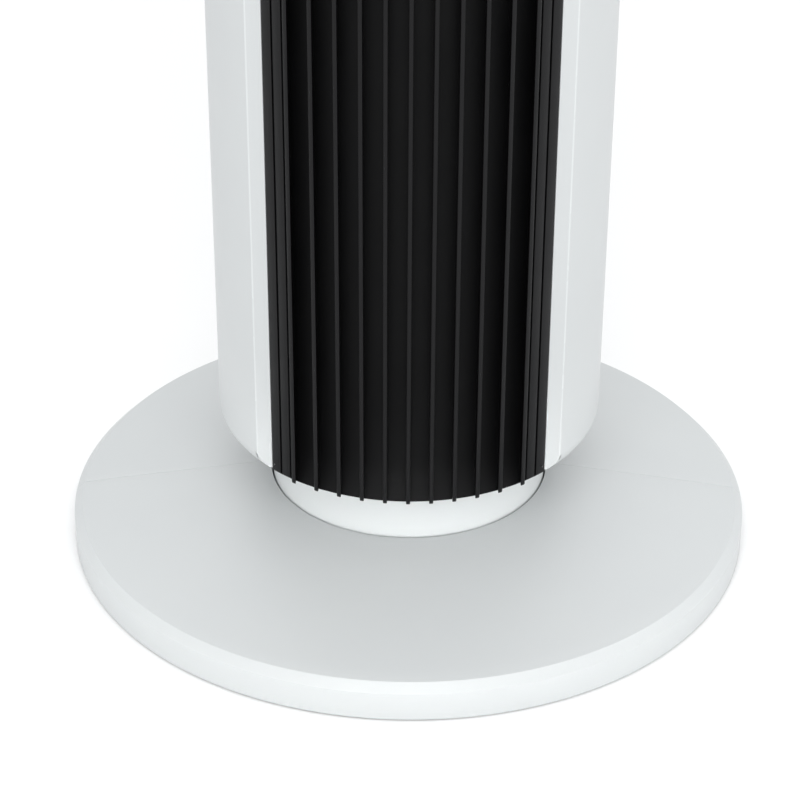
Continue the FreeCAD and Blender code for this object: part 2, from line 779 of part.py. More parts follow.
def makeCap():
    corner = 8 * (1 - math.sqrt(0.5))
    shell = turned((innerRadius, capJoint + 0.15), [
        (bodyRadius, capJoint + 0.15),
        (bodyRadius, bodyTop - 8),
        ((bodyRadius - corner, bodyTop - corner), (bodyRadius - 8, bodyTop)),
        (panelRadius + 0.3, bodyTop),
        (panelRadius + 0.3, panelBottom),
        (panelRadius - 4, panelBottom),
        (panelRadius - 4, panelBottom - 2.5),
        (bodyRadius - 9, bodyTop - 7),
        (innerRadius, bodyTop - 12),
    ])
    spigot = tube(innerRadius - 2.3, innerRadius - 0.2, capJoint - 6, capJoint + 4)
    joint = tube(innerRadius - 2.3, innerRadius + 1, capJoint + 0.15, capJoint + 4)
    posts = [rod(4, boardTop, panelBottom, x, y) for x, y in boardPosts()]
    arms = []
    for x, y in boardPosts():
        reach = math.hypot(x, y)
        arm = box(reach, panelRadius + 2, -2, 2, panelBottom - 3, panelBottom)
        arm.rotate(Vector(0, 0, 0), Vector(0, 0, 1), math.degrees(math.atan2(y, x)))
        arms.append(arm)
    whole = fuse([shell, spigot, joint] + posts + arms)
    save("top_cap", cut(whole, [rod(1.3, 930, panelBottom - 1, x, y) for x, y in boardPosts()]))


def boardPosts():
    return [(-46.0, -20.0), (46.0, -20.0), (-34.0, 34.0), (34.0, 34.0)]


def buttonSpots():
    return [polar(buttonCircle, 270 + buttonSpacing * i) for i in (-2, -1, 0, 1, 2)]


def makePanel():
    plate = rod(panelRadius, panelBottom, panelTop)
    holes = [rod(buttonRadius + 0.3, 900, 970, x, y) for x, y in buttonSpots()]
    window = box(-lensX - 0.2, lensX + 0.2, lensFront - 0.2, lensRear + 0.2, 900, 970)
    save("control_panel", cut(plate, holes + [window]))
    lens = box(-lensX, lensX, lensFront, lensRear, panelBottom, panelTop)
    flange = box(-26, 26, 4, 26, panelBottom - 1.5, panelBottom)
    save("display_lens", lens.fuse(flange))
    board = box(-52, 52, -46, 40, boardTop - boardThickness, boardTop).common(rod(panelRadius, 900, 970))
    switches = [box(x - 3, x + 3, y - 3, y + 3, boardTop - 0.1, boardTop + 3.9) for x, y in buttonSpots()]
    display = box(-20, 20, 8, 22, boardTop - 0.1, panelBottom - 1.6)
    holes = [rod(1.6, 900, 970, x, y) for x, y in boardPosts()]
    save("control_board", cut(fuse([board, display] + switches), holes))
    screws = [screw(x, y, boardTop - 3.6, 953, 2.8, 1.25, 2.0) for x, y in boardPosts()]
    save("board_screws", screws)
    names = ("power", "speed", "mode", "timer", "swing")
    for name, (x, y) in zip(names, buttonSpots()):
        key = turned((0.0, panelBottom - 1.6), [
            (buttonRadius + 1.5, panelBottom - 1.6),
            (buttonRadius + 1.5, panelBottom - 0.2),
            (buttonRadius, panelBottom - 0.2),
            (buttonRadius, panelTop),
            ((buttonRadius - 0.3, panelTop + 0.5), (buttonRadius - 0.8, panelTop + 0.8)),
            (0.0, panelTop + 0.8),
        ])
        key.translate(Vector(x, y, 0))
        save("button_" + name, key.fuse(rod(2.0, boardTop + 5.0, panelBottom - 1, x, y)))


def makePowerBoard():
    rear = powerBoardRear - 0.1
    board = box(14, 58, powerBoardFront, powerBoardRear, floorPlateTop, powerBoardTop)
    coil = box(20, 44, rear, -26, 76, 100)
    relay = box(20, 34, rear, -26, 108, 128)
    terminals = box(38, 54, rear, -28, 112, 140)
    save("power_board", fuse([board, coil, relay, terminals]))


makeBase()
makeCordInlet()
makePedestal()
makeOscillationGears()
makeTowerFloor()
makeSwingDrive()
makeFrontHousing()
makeRearHousing()
makeIntakeGrille()
makeHandGrip()
makeFrontGrille()
makeAirPath()
makeDecks()
makeMotor()
makeWheel()
makeCap()
makePanel()
makePowerBoard()
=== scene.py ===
import json
import math
import bmesh
import bpy
from mathutils import Matrix, Vector


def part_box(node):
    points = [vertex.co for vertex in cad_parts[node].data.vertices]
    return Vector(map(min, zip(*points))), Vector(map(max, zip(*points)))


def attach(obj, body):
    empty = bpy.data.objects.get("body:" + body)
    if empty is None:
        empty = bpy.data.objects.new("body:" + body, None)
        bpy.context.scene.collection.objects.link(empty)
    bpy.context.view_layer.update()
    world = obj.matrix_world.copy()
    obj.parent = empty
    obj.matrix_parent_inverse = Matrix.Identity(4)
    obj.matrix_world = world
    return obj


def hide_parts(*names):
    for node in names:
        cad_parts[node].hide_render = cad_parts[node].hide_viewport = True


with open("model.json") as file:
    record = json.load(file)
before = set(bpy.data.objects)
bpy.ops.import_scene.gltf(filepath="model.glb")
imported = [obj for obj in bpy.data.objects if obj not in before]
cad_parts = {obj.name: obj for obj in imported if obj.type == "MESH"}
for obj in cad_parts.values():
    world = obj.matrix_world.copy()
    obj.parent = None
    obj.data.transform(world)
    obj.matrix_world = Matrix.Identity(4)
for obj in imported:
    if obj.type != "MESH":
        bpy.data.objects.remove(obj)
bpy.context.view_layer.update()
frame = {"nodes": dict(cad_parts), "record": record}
nodes = frame["nodes"]
mm = 0.001
noiseLow, noiseHigh = 0.3, 0.7    # where the noise values of a pattern mostly lie
print("frame loaded with", len(nodes), "nodes")


def linearColour(hexText):
    channels = [int(hexText[i:i + 2], 16) / 255 for i in (1, 3, 5)]
    linear = [c / 12.92 if c <= 0.04045 else ((c + 0.055) / 1.055) ** 2.4 for c in channels]
    return tuple(linear) + (1.0,)


def addNode(material, kind, settings=None, links=None):
    # settings: a socket name or a property of the node; links: socket name -> (node, output name)
    node = material.node_tree.nodes.new(kind)
    for key, value in (settings or {}).items():
        if key in node.inputs:
            node.inputs[key].default_value = value
        else:
            setattr(node, key, value)
    for key, (source, output) in (links or {}).items():
        material.node_tree.links.new(source.outputs[output], node.inputs[key])
    return node


def newMaterial(name):
    material = bpy.data.materials.new(name)
    material.use_nodes = True
    material.node_tree.nodes.clear()
    return material


def finishMaterial(material, shader):
    output = addNode(material, "ShaderNodeOutputMaterial")
    material.node_tree.links.new(shader.outputs[0], output.inputs["Surface"])
    return material


def mouldedPlastic(name, look):
    # injection moulded plastic: a fine spark grain, and a slow change of gloss where the tool was polished
    material = newMaterial(name)
    place = addNode(material, "ShaderNodeTexCoord")
    grain = addNode(material, "ShaderNodeTexNoise",
                    {"Scale": 1 / (look["grainSize"] * mm), "Detail": 2.0, "Roughness": 0.5},
                    {"Vector": (place, "Object")})
    clouds = addNode(material, "ShaderNodeTexNoise",
                     {"Scale": 1 / (look["cloudSize"] * mm), "Detail": 3.0, "Roughness": 0.55},
                     {"Vector": (place, "Object")})
    gloss = addNode(material, "ShaderNodeMapRange",
                    {"From Min": noiseLow, "From Max": noiseHigh,
                     "To Min": look["roughness"] - look["glossChange"],
                     "To Max": look["roughness"] + look["glossChange"]},
                    {"Value": (clouds, "Fac")})
    tint = addNode(material, "ShaderNodeMix", {"data_type": "RGBA"}, {"Factor": (clouds, "Fac")})
    tint.inputs[6].default_value = linearColour(look["colour"])
    tint.inputs[7].default_value = linearColour(look["shade"])
    bump = addNode(material, "ShaderNodeBump",
                   {"Strength": look["bump"], "Distance": look["grainDepth"] * mm},
                   {"Height": (grain, "Fac")})
    shader = addNode(material, "ShaderNodeBsdfPrincipled",
                     {"IOR": look["ior"], "Specular IOR Level": look.get("specular", 0.5)},
                     {"Roughness": (gloss, "Result"), "Normal": (bump, "Normal")})
    material.node_tree.links.new(tint.outputs[2], shader.inputs["Base Color"])
    return finishMaterial(material, shader)


def metal(name, look):
    # plated, turned or stamped metal: fine scratches break the gloss up
    material = newMaterial(name)
    place = addNode(material, "ShaderNodeTexCoord")
    stretch = addNode(material, "ShaderNodeMapping", {"Scale": look["stretch"]},
                      {"Vector": (place, "Object")})
    scratch = addNode(material, "ShaderNodeTexNoise",
                      {"Scale": 1 / (look["grainSize"] * mm), "Detail": 4.0, "Roughness": 0.6},
                      {"Vector": (stretch, "Vector")})
    gloss = addNode(material, "ShaderNodeMapRange",
                    {"From Min": noiseLow, "From Max": noiseHigh, "To Min": look["roughness"] * 0.75,
                     "To Max": look["roughness"] * 1.25},
                    {"Value": (scratch, "Fac")})
    tint = addNode(material, "ShaderNodeMix", {"data_type": "RGBA"}, {"Factor": (scratch, "Fac")})
    tint.inputs[6].default_value = linearColour(look["colour"])
    tint.inputs[7].default_value = linearColour(look["shade"])
    bump = addNode(material, "ShaderNodeBump", {"Strength": 0.15, "Distance": 0.02 * mm},
                   {"Height": (scratch, "Fac")})
    shader = addNode(material, "ShaderNodeBsdfPrincipled", {"Metallic": 1.0},
                     {"Roughness": (gloss, "Result"), "Normal": (bump, "Normal")})
    material.node_tree.links.new(tint.outputs[2], shader.inputs["Base Color"])
    return finishMaterial(material, shader)


plasticLooks = {
    # satin white ABS of the casing: clean, a little cold, soft highlights
    "whiteAbs": {"colour": "#cacdcd", "shade": "#c7cacb", "roughness": 0.42, "glossChange": 0.03,
                 "grainSize": 0.6, "grainDepth": 0.01, "bump": 0.12, "cloudSize": 60, "ior": 1.53},
    # the collar's white, a little lighter than the casing's: painted light, a lit copy of the casing's white that
    # brightens the collar where the body above shades it
    "whiteAbsCollarPaintedLight": {"colour": "#dadddd", "shade": "#d8dbdb", "roughness": 0.38, "glossChange": 0.03,
                       "grainSize": 0.6, "grainDepth": 0.01, "bump": 0.12, "cloudSize": 60, "ior": 1.53},
    # the casing's rounded edges, set lighter and smoother than its faces so that they show as thin bright lines:
    # the lighter colour is a painted highlight
    "whiteAbsEdgePaintedHighlight": {"colour": "#d6d9d9", "shade": "#d3d6d7", "roughness": 0.28, "glossChange": 0.03,
                     "grainSize": 0.6, "grainDepth": 0.005, "bump": 0.05, "cloudSize": 60, "ior": 1.53},
    # the same ABS in the rear intake, straight from a duller tool
    "whiteAbsGrille": {"colour": "#cacdcd", "shade": "#c6c9ca", "roughness": 0.5, "glossChange": 0.04,
                       "grainSize": 0.6, "grainDepth": 0.015, "bump": 0.2, "cloudSize": 40, "ior": 1.53},
    # semi-gloss black ABS of the front grille and the keys
    "blackAbs": {"colour": "#0a0a0b", "shade": "#0e0e10", "roughness": 0.46, "glossChange": 0.04,
                 "grainSize": 0.5, "grainDepth": 0.015, "bump": 0.2, "cloudSize": 25, "ior": 1.5,
                 "specular": 0.22},
    # the channel floors of the same moulding, with a coarser spark texture; their darker colour and weaker
    # reflection than the uprights' black are painted shade between the ribs
    "blackAbsTexturedPaintedShade": {"colour": "#060607", "shade": "#09090a", "roughness": 0.58, "glossChange": 0.04,
                         "grainSize": 0.4, "grainDepth": 0.04, "bump": 0.4, "cloudSize": 25, "ior": 1.5,
                         "specular": 0.16},
    # polished black panel on top
    "pianoBlackAbs": {"colour": "#08080a", "shade": "#0a0a0c", "roughness": 0.16, "glossChange": 0.03,
                      "grainSize": 3.0, "grainDepth": 0.01, "bump": 0.05, "cloudSize": 30, "ior": 1.53},
    # glass-filled black polypropylene of the ducts, decks and wheel: dull, faintly clouded
    "filledPolypropylene": {"colour": "#0f0f10", "shade": "#171718", "roughness": 0.62, "glossChange": 0.06,
                            "grainSize": 0.8, "grainDepth": 0.03, "bump": 0.35, "cloudSize": 20, "ior": 1.49},
    # milky acetal of gears and slide washers
    "acetal": {"colour": "#e6e3d6", "shade": "#dcd8c8", "roughness": 0.38, "glossChange": 0.04,
               "grainSize": 0.5, "grainDepth": 0.01, "bump": 0.12, "cloudSize": 12, "ior": 1.48},
    # black nitrile rubber of feet and bushes
    "nitrileRubber": {"colour": "#141414", "shade": "#1d1d1c", "roughness": 0.78, "glossChange": 0.06,
                      "grainSize": 0.7, "grainDepth": 0.05, "bump": 0.5, "cloudSize": 8, "ior": 1.52},
    # ivory case of the run capacitor
    "ivoryPbt": {"colour": "#e4dfce", "shade": "#d9d3bf", "roughness": 0.5, "glossChange": 0.05,
                 "grainSize": 0.6, "grainDepth": 0.02, "bump": 0.2, "cloudSize": 15, "ior": 1.55},
    # green solder mask over the weave of the board
    "solderMask": {"colour": "#12502a", "shade": "#0d4022", "roughness": 0.3, "glossChange": 0.05,
                   "grainSize": 0.9, "grainDepth": 0.02, "bump": 0.3, "cloudSize": 10, "ior": 1.52},
    # smoked acrylic over the display and the remote eye
    "smokedAcrylic": {"colour": "#060508", "shade": "#0a070b", "roughness": 0.08, "glossChange": 0.01,
                      "grainSize": 2.0, "grainDepth": 0.004, "bump": 0.03, "cloudSize": 20, "ior": 1.49},
}
metalLooks = {
    # zinc plated steel of screws and stamped brackets
    "zincPlatedSteel": {"colour": "#b9bcc0", "shade": "#a3a7ac", "roughness": 0.34, "grainSize": 0.8,
                        "stretch": (1, 1, 1)},
    # drawn sheet steel of the motor shells, long fine draw lines
    "drawnSteel": {"colour": "#a9adb2", "shade": "#8f9398", "roughness": 0.4, "grainSize": 2.0,
                   "stretch": (1, 1, 0.1)},
    # varnished stack of laminations: rings show edge on
    "laminatedSteel": {"colour": "#55524f", "shade": "#3d3b3a", "roughness": 0.5, "grainSize": 4.0,
                       "stretch": (0.1, 0.1, 8)},
    # enamelled copper wire
    "enamelledCopper": {"colour": "#b4592c", "shade": "#8c3f1d", "roughness": 0.3, "grainSize": 2.0,
                        "stretch": (0.3, 0.3, 5)},
    # sintered bronze of the bushes
    "sinteredBronze": {"colour": "#a5814a", "shade": "#8a6a3a", "roughness": 0.48, "grainSize": 0.5,
                       "stretch": (1, 1, 1)},
}
materials = {name: mouldedPlastic(name, look) for name, look in plasticLooks.items()}
materials.update({name: metal(name, look) for name, look in metalLooks.items()})
slotMaterials = {
    "white_plastic": "whiteAbs", "white_grille_plastic": "whiteAbsGrille", "black_plastic": "blackAbs",
    "inner_plastic": "filledPolypropylene", "nylon": "acetal", "rubber": "nitrileRubber",
    "steel": "zincPlatedSteel", "zinc_plate": "drawnSteel", "lamination": "laminatedSteel",
    "copper": "enamelledCopper", "bronze": "sinteredBronze", "capacitor_case": "ivoryPbt",
    "circuit_board": "solderMask", "smoked_lens": "smokedAcrylic",
}
nodeSlots = {part["node"]: part["material_slot"] for part in frame["record"]["subparts"]}
bodyMembers = frame["record"]["behaviour"]["bodies"]
nodeBodies = {node: body for body, members in bodyMembers.items() for node in members}
for node, part in nodes.items():
    part.data.materials.clear()
    part.data.materials.append(materials[slotMaterials[nodeSlots[node]]])
print("materials made:", len(materials))

# shapes are in millimetres until finishPiece


def arcPoints(centre, radius, start, end, count):
    # points on an arc in a plane of radius and height, angles in degrees from +radius towards +height
    step = (end - start) / (count - 1)
    angles = [math.radians(start + step * i) for i in range(count)]
    return [(centre[0] + radius * math.cos(a), centre[1] + radius * math.sin(a)) for a in angles]


def crownPoints(first, middle, last, count):
    # a shallow curve through three points
    points = []
    for i in range(count):
        t = i / (count - 1)
        bulge = 4 * t * (1 - t)
        points.append(tuple((1 - t) * a + t * c + bulge * (b - (a + c) / 2)
                            for a, b, c in zip(first, middle, last)))
    return points


def profileEdges(bm, points, startAngle, closed):
    # a profile of (radius, height) standing on the plane at startAngle
    turn = math.radians(startAngle)
    verts = [bm.verts.new((r * math.cos(turn), r * math.sin(turn), z)) for r, z in points]
    pairs = list(zip(verts, verts[1:])) + ([(verts[-1], verts[0])] if closed else [])
    return verts + [bm.edges.new(pair) for pair in pairs]


def spinProfile(points, startAngle=0.0, sweep=360.0, steps=192, closed=True, bm=None):
    bm = bm or bmesh.new()
    full = abs(sweep) > 359.9
    geom = profileEdges(bm, points, startAngle, closed)
    bmesh.ops.spin(bm, geom=geom, cent=(0, 0, 0), axis=(0, 0, 1), dvec=(0, 0, 0), angle=math.radians(sweep),
                   steps=steps, use_merge=full, use_normal_flip=False, use_duplicate=False)
    bmesh.ops.remove_doubles(bm, verts=bm.verts[:], dist=0.0005)
    if closed and not full:
        capHoles(bm)
    return bm


def capHoles(bm):
    rim = [e for e in bm.edges if e.is_boundary]
    bmesh.ops.holes_fill(bm, edges=rim, sides=0)
    bmesh.ops.recalc_face_normals(bm, faces=bm.faces[:])


def cutAway(bm, point, normal, faces=None, cap=False, clear=True):
    # removes what lies on the side that the normal points to
    geom = faces if faces is not None else bm.faces[:]
    edges = dict.fromkeys(e for f in geom for e in f.edges)    # in order, so that each run is the same
    verts = dict.fromkeys(v for f in geom for v in f.verts)
    bmesh.ops.bisect_plane(bm, geom=list(geom) + list(edges) + list(verts), dist=0.0002, plane_co=point,
                           plane_no=normal, clear_outer=clear, clear_inner=False)
    if cap:
        capHoles(bm)


def softenEdges(bm, width, segments=2, minAngle=22.0, among=None):
    sharp = []
    for edge in among or bm.edges:
        if edge.is_valid and len(edge.link_faces) == 2 and edge.calc_face_angle(0) > math.radians(minAngle):
            sharp.append(edge)
    bmesh.ops.bevel(bm, geom=sharp, offset=width, offset_type="OFFSET", segments=segments, profile=0.5,
                    affect="EDGES", clamp_overlap=True, material=-1)


def blockPiece(bm, x0, x1, y0, y1, z0, z1):
    made = bmesh.ops.create_cube(bm, size=1.0)
    bmesh.ops.scale(bm, vec=(x1 - x0, y1 - y0, z1 - z0), verts=made["verts"])
    bmesh.ops.translate(bm, vec=((x0 + x1) / 2, (y0 + y1) / 2, (z0 + z1) / 2), verts=made["verts"])
    return made["verts"]


def finishPiece(bm, name, node, look=None, replaced=(), smoothAngle=30.0, normals=True):
    # millimetres to metres, smooth shading, material (from the part's slot unless a look is given) and body; the
    # part and those it replaces are hidden
    bmesh.ops.scale(bm, vec=(mm, mm, mm), verts=bm.verts[:])
    if normals:
        bmesh.ops.recalc_face_normals(bm, faces=bm.faces[:])
    mesh = bpy.data.meshes.new(name)
    bm.to_mesh(mesh)
    bm.free()
    mesh.shade_smooth()
    mesh.set_sharp_from_angle(angle=math.radians(smoothAngle))
    piece = bpy.data.objects.new(name, mesh)
    bpy.context.scene.collection.objects.link(piece)
    mesh.materials.append(materials[look or slotMaterials[nodeSlots[node]]])
    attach(piece, nodeBodies[node])
    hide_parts(node, *replaced)
    return piece


def joinMesh(target, source):
    # adds one bmesh to another
    carrier = bpy.data.meshes.new("carrier")
    source.to_mesh(carrier)
    source.free()
    target.from_mesh(carrier)
    bpy.data.meshes.remove(carrier)


def nodeSpan(node):
    low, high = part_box(node)
    return [v / mm for v in low], [v / mm for v in high]


def addSolidify(piece, thickness, offset=-1.0):
    shell = piece.modifiers.new("wall", "SOLIDIFY")
    shell.thickness = thickness * mm
    shell.offset = offset
    shell.use_even_offset = True


def addBevel(piece, width, segments=2, angle=28.0):
    bevel = piece.modifiers.new("edges", "BEVEL")
    bevel.width = width * mm
    bevel.segments = segments
    bevel.limit_method = "ANGLE"
    bevel.angle_limit = math.radians(angle)
    bevel.harden_normals = True
    return bevel


baseLow, baseHigh = nodeSpan("base_front_half")
collarHigh = nodeSpan("pedestal")[1]
base = {
    "radius": baseHigh[0], "bottom": baseLow[2], "rimTop": 13.4, "bevel": 3.6, "hubRadius": 61.35,
    "hubTop": baseHigh[2], "wall": 2.6, "crown": 0.4, "shelfInner": 40.0, "shelfBottom": 10.0, "shelfTop": 13.0,
    "seam": 0.1, "ribs": 12, "ribThickness": 2.0, "ribBottom": 3.0, "feet": 8, "footCircle": 132.0,
    "bossRadius": 9.0, "bossBore": 6.0, "bossBottom": 2.0, "boreTop": 4.0, "rootSink": 0.6, "flatRibReach": 100.0,
    "tightEdge": 0.15, "softEdge": 0.5, "ribEdge": 0.3,
}


def baseProfile():
    b = base
    outer = crownPoints((b["radius"] - b["bevel"], b["rimTop"] + b["bevel"]),
                        ((b["radius"] - b["bevel"] + b["hubRadius"]) / 2,
                         (b["rimTop"] + b["bevel"] + b["hubTop"]) / 2 + b["crown"]),
                        (b["hubRadius"], b["hubTop"]), 14)
    inner = [(r, z - b["wall"]) for r, z in reversed(outer)]
    inner[0] = (b["hubRadius"] + b["wall"], inner[0][1] - 0.4)
    inner[-1] = (inner[-1][0] - 1.2, inner[-1][1])
    points = [(b["radius"], b["bottom"]), (b["radius"], b["rimTop"])] + outer
    points += [(b["hubRadius"], b["shelfTop"]), (b["shelfInner"], b["shelfTop"])]
    points += [(b["shelfInner"], b["shelfBottom"]), (b["hubRadius"] + b["wall"], b["shelfBottom"])] + inner
    points += [(b["radius"] - b["wall"], b["rimTop"] - 1.4), (b["radius"] - b["wall"], b["bottom"])]
    return points


def skinHeight(radius):
    # underside of the domed top at a radius
    b = base
    edge = b["radius"] - b["bevel"]
    t = (edge - radius) / (edge - b["hubRadius"])
    return b["rimTop"] + b["bevel"] + t * (b["hubTop"] - b["rimTop"] - b["bevel"]) - b["wall"] + 0.4


def footPlace(i, start=0.0):
    step = 360.0 / base["feet"]
    angle = math.radians(start + step * (i + 0.5))
    return base["footCircle"] * math.cos(angle), base["footCircle"] * math.sin(angle), 0


def makeBaseHalf(name, node, start):
    b = base
    bm = spinProfile(baseProfile(), start, 180.0, 128)
    side = -1 if start < 0 else 1
    cutAway(bm, (0, side * b["seam"] / 2, 0), (0, -side, 0))
    capHoles(bm)
    tight = [e for e in bm.edges if all(v.co.xy.length < b["hubRadius"] + 1 for v in e.verts) or
             all(abs(v.co.y) < b["seam"] for v in e.verts)]
    softenEdges(bm, b["tightEdge"], 1, among=tight)
    softenEdges(bm, b["softEdge"], 3, 35)
    half = b["ribThickness"] / 2
    for i in range(b["ribs"] // 2):
        angle = start + 180.0 * (i + 0.5) / (b["ribs"] // 2)
        rib = bmesh.new()
        blockPiece(rib, b["hubRadius"] + 1, b["radius"] - 1.2, -half, half, b["ribBottom"], b["rimTop"])
        for vert in rib.verts:
            if vert.co.z > b["ribBottom"] + 1:
                nearHub = vert.co.x < b["flatRibReach"]
                vert.co.z = skinHeight(vert.co.x) + b["rootSink"] if nearHub else b["rimTop"] - b["rootSink"]
        softenEdges(rib, b["ribEdge"], 1)
        turn = Matrix.Rotation(math.radians(angle), 3, "Z")
        bmesh.ops.rotate(rib, cent=(0, 0, 0), matrix=turn, verts=rib.verts[:])
        joinMesh(bm, rib)
    top = skinHeight(b["footCircle"]) + b["rootSink"]
    for i in range(b["feet"] // 2):
        boss = spinProfile([(0, b["bossBottom"]), (b["bossRadius"], b["bossBottom"]), (b["bossRadius"], top),
                            (b["bossBore"], top), (b["bossBore"], b["boreTop"]), (0, b["boreTop"])],
                           0, 360, 48, closed=False)
        softenEdges(boss, b["ribEdge"], 1)
        bmesh.ops.translate(boss, vec=footPlace(i, start), verts=boss.verts[:])
        joinMesh(bm, boss)
    return finishPiece(bm, name, node)


makeBaseHalf("baseFrontShell", "base_front_half", -180.0)
makeBaseHalf("baseRearShell", "base_rear_half", 0.0)


collar = {
    "radius": 60.6, "neckRadius": 59.9, "taperStart": 30.0, "foot": 13.0, "deck": 57.5, "edge": 2.0, "wall": 3.0,
    "postRadius": 16.0, "postBore": 12.0, "innerTop": 57.2, "innerFoot": 57.8, "screwCircle": 50.0,
    "screwBoss": 4.6, "screwBore": 2.1, "softEdge": 0.4,
}


def makeCollar():
    c = collar
    rounded = arcPoints((c["neckRadius"] - 1.9, c["deck"] - c["edge"]), c["edge"], 0, 90, 6)
    points = [(c["radius"], c["foot"]), (c["radius"], c["taperStart"]), (c["neckRadius"], c["deck"] - c["edge"])]
    points += rounded + [(c["postRadius"], c["deck"]), (c["postRadius"], collarHigh[2])]
    points += [(c["postBore"], collarHigh[2]), (c["postBore"], c["deck"] - c["wall"])]
    points += [(c["innerTop"], c["deck"] - c["wall"]), (c["innerFoot"], c["foot"])]
    bm = spinProfile(points, steps=160)
    softenEdges(bm, c["softEdge"], 2)
    for i in range(4):
        angle = math.radians(45 + 90 * i)
        bossTop = c["deck"] - c["edge"]
        boss = spinProfile([(c["screwBore"], c["foot"]), (c["screwBoss"], c["foot"]), (c["screwBoss"], bossTop),
                            (c["screwBore"], bossTop)], steps=32)
        place = (c["screwCircle"] * math.cos(angle), c["screwCircle"] * math.sin(angle), 0)
        bmesh.ops.translate(boss, vec=place, verts=boss.verts[:])
        joinMesh(bm, boss)
    # the collar takes the lighter white: painted light where the body above shades it
    finishPiece(bm, "pedestalCollar", "pedestal", "whiteAbsCollarPaintedLight")


makeCollar()


foot = {"radius": 8.0, "edge": 0.6, "ringDepth": 0.5, "rings": (1.4, 1.8, 3.2, 3.6, 4.8, 5.2)}


def makeFeet():
    low, high = nodeSpan("rubber_feet")
    radius, edge, height = foot["radius"], foot["edge"], high[2] - low[2]
    tread = [(0, foot["ringDepth"])]    # rings stand down from the sole
    for k, ring in enumerate(foot["rings"]):
        tread.append((ring, 0 if k % 4 in (1, 2) else foot["ringDepth"]))
    bm = bmesh.new()
    for i in range(base["feet"]):
        pad = spinProfile(tread + [(radius - edge, 0), (radius, edge), (radius, height), (0, height)], 0, 360, 48,
                          closed=False)
        bmesh.ops.translate(pad, vec=footPlace(i), verts=pad.verts[:])
        joinMesh(bm, pad)
    finishPiece(bm, "rubberFeetPads", "rubber_feet")


makeFeet()
print("base made")

towerLow, towerHigh = nodeSpan("front_housing")
tower = {
    "radius": towerHigh[0], "bottom": towerLow[2], "top": towerHigh[2], "edge": 8.0, "wall": 2.5, "lip": 74.0,
    "split": 104.9, "creaseX": 64.0, "openingX": 57.6, "openingY": -56.0, "openingTop": 900.0,
    "eyeHeight": 915.0, "eyeRadius": 4.1, "eyeMargin": 9.0, "softEdge": 0.35,
    "rearStart": 15.1, "rearSweep": 149.8,
}
tower["creaseY"] = -math.sqrt(tower["radius"] ** 2 - tower["creaseX"] ** 2)


def shellProfile():
    t = tower
    corner = arcPoints((t["radius"] - t["edge"], t["bottom"] + t["edge"]), t["edge"], -90, 0, 10)
    return [(t["lip"], t["bottom"])] + corner + [(t["radius"], t["openingTop"]), (t["radius"], t["top"])]


def roundHole(bm, centre, axis, radius, count=28, reach=1.9):
    # opens a round hole along an axis in the tower wall and joins it to the faces around it
    near = []
    for face in bm.faces:
        offset = face.calc_center_median() - Vector(centre)
        if max(abs(part) for part in offset) < radius * reach:
            near.append(face)
    rim = [e for f in near for e in f.edges if any(other not in near for other in e.link_faces)]
    bmesh.ops.delete(bm, geom=near, context="FACES")
    made = bmesh.ops.create_circle(bm, segments=count, radius=radius)
    spin = Vector((0, 0, 1)).rotation_difference(Vector(axis)).to_matrix()
    bmesh.ops.rotate(bm, cent=(0, 0, 0), matrix=spin, verts=made["verts"])
    bmesh.ops.translate(bm, vec=centre, verts=made["verts"])
    sign = 1 if axis[1] > 0 else -1
    for vert in made["verts"]:
        vert.co.y = sign * math.sqrt(tower["radius"] ** 2 - vert.co.x ** 2)
    ring = list(dict.fromkeys(e for v in made["verts"] for e in v.link_edges))
    bmesh.ops.bridge_loops(bm, edges=rim + ring)


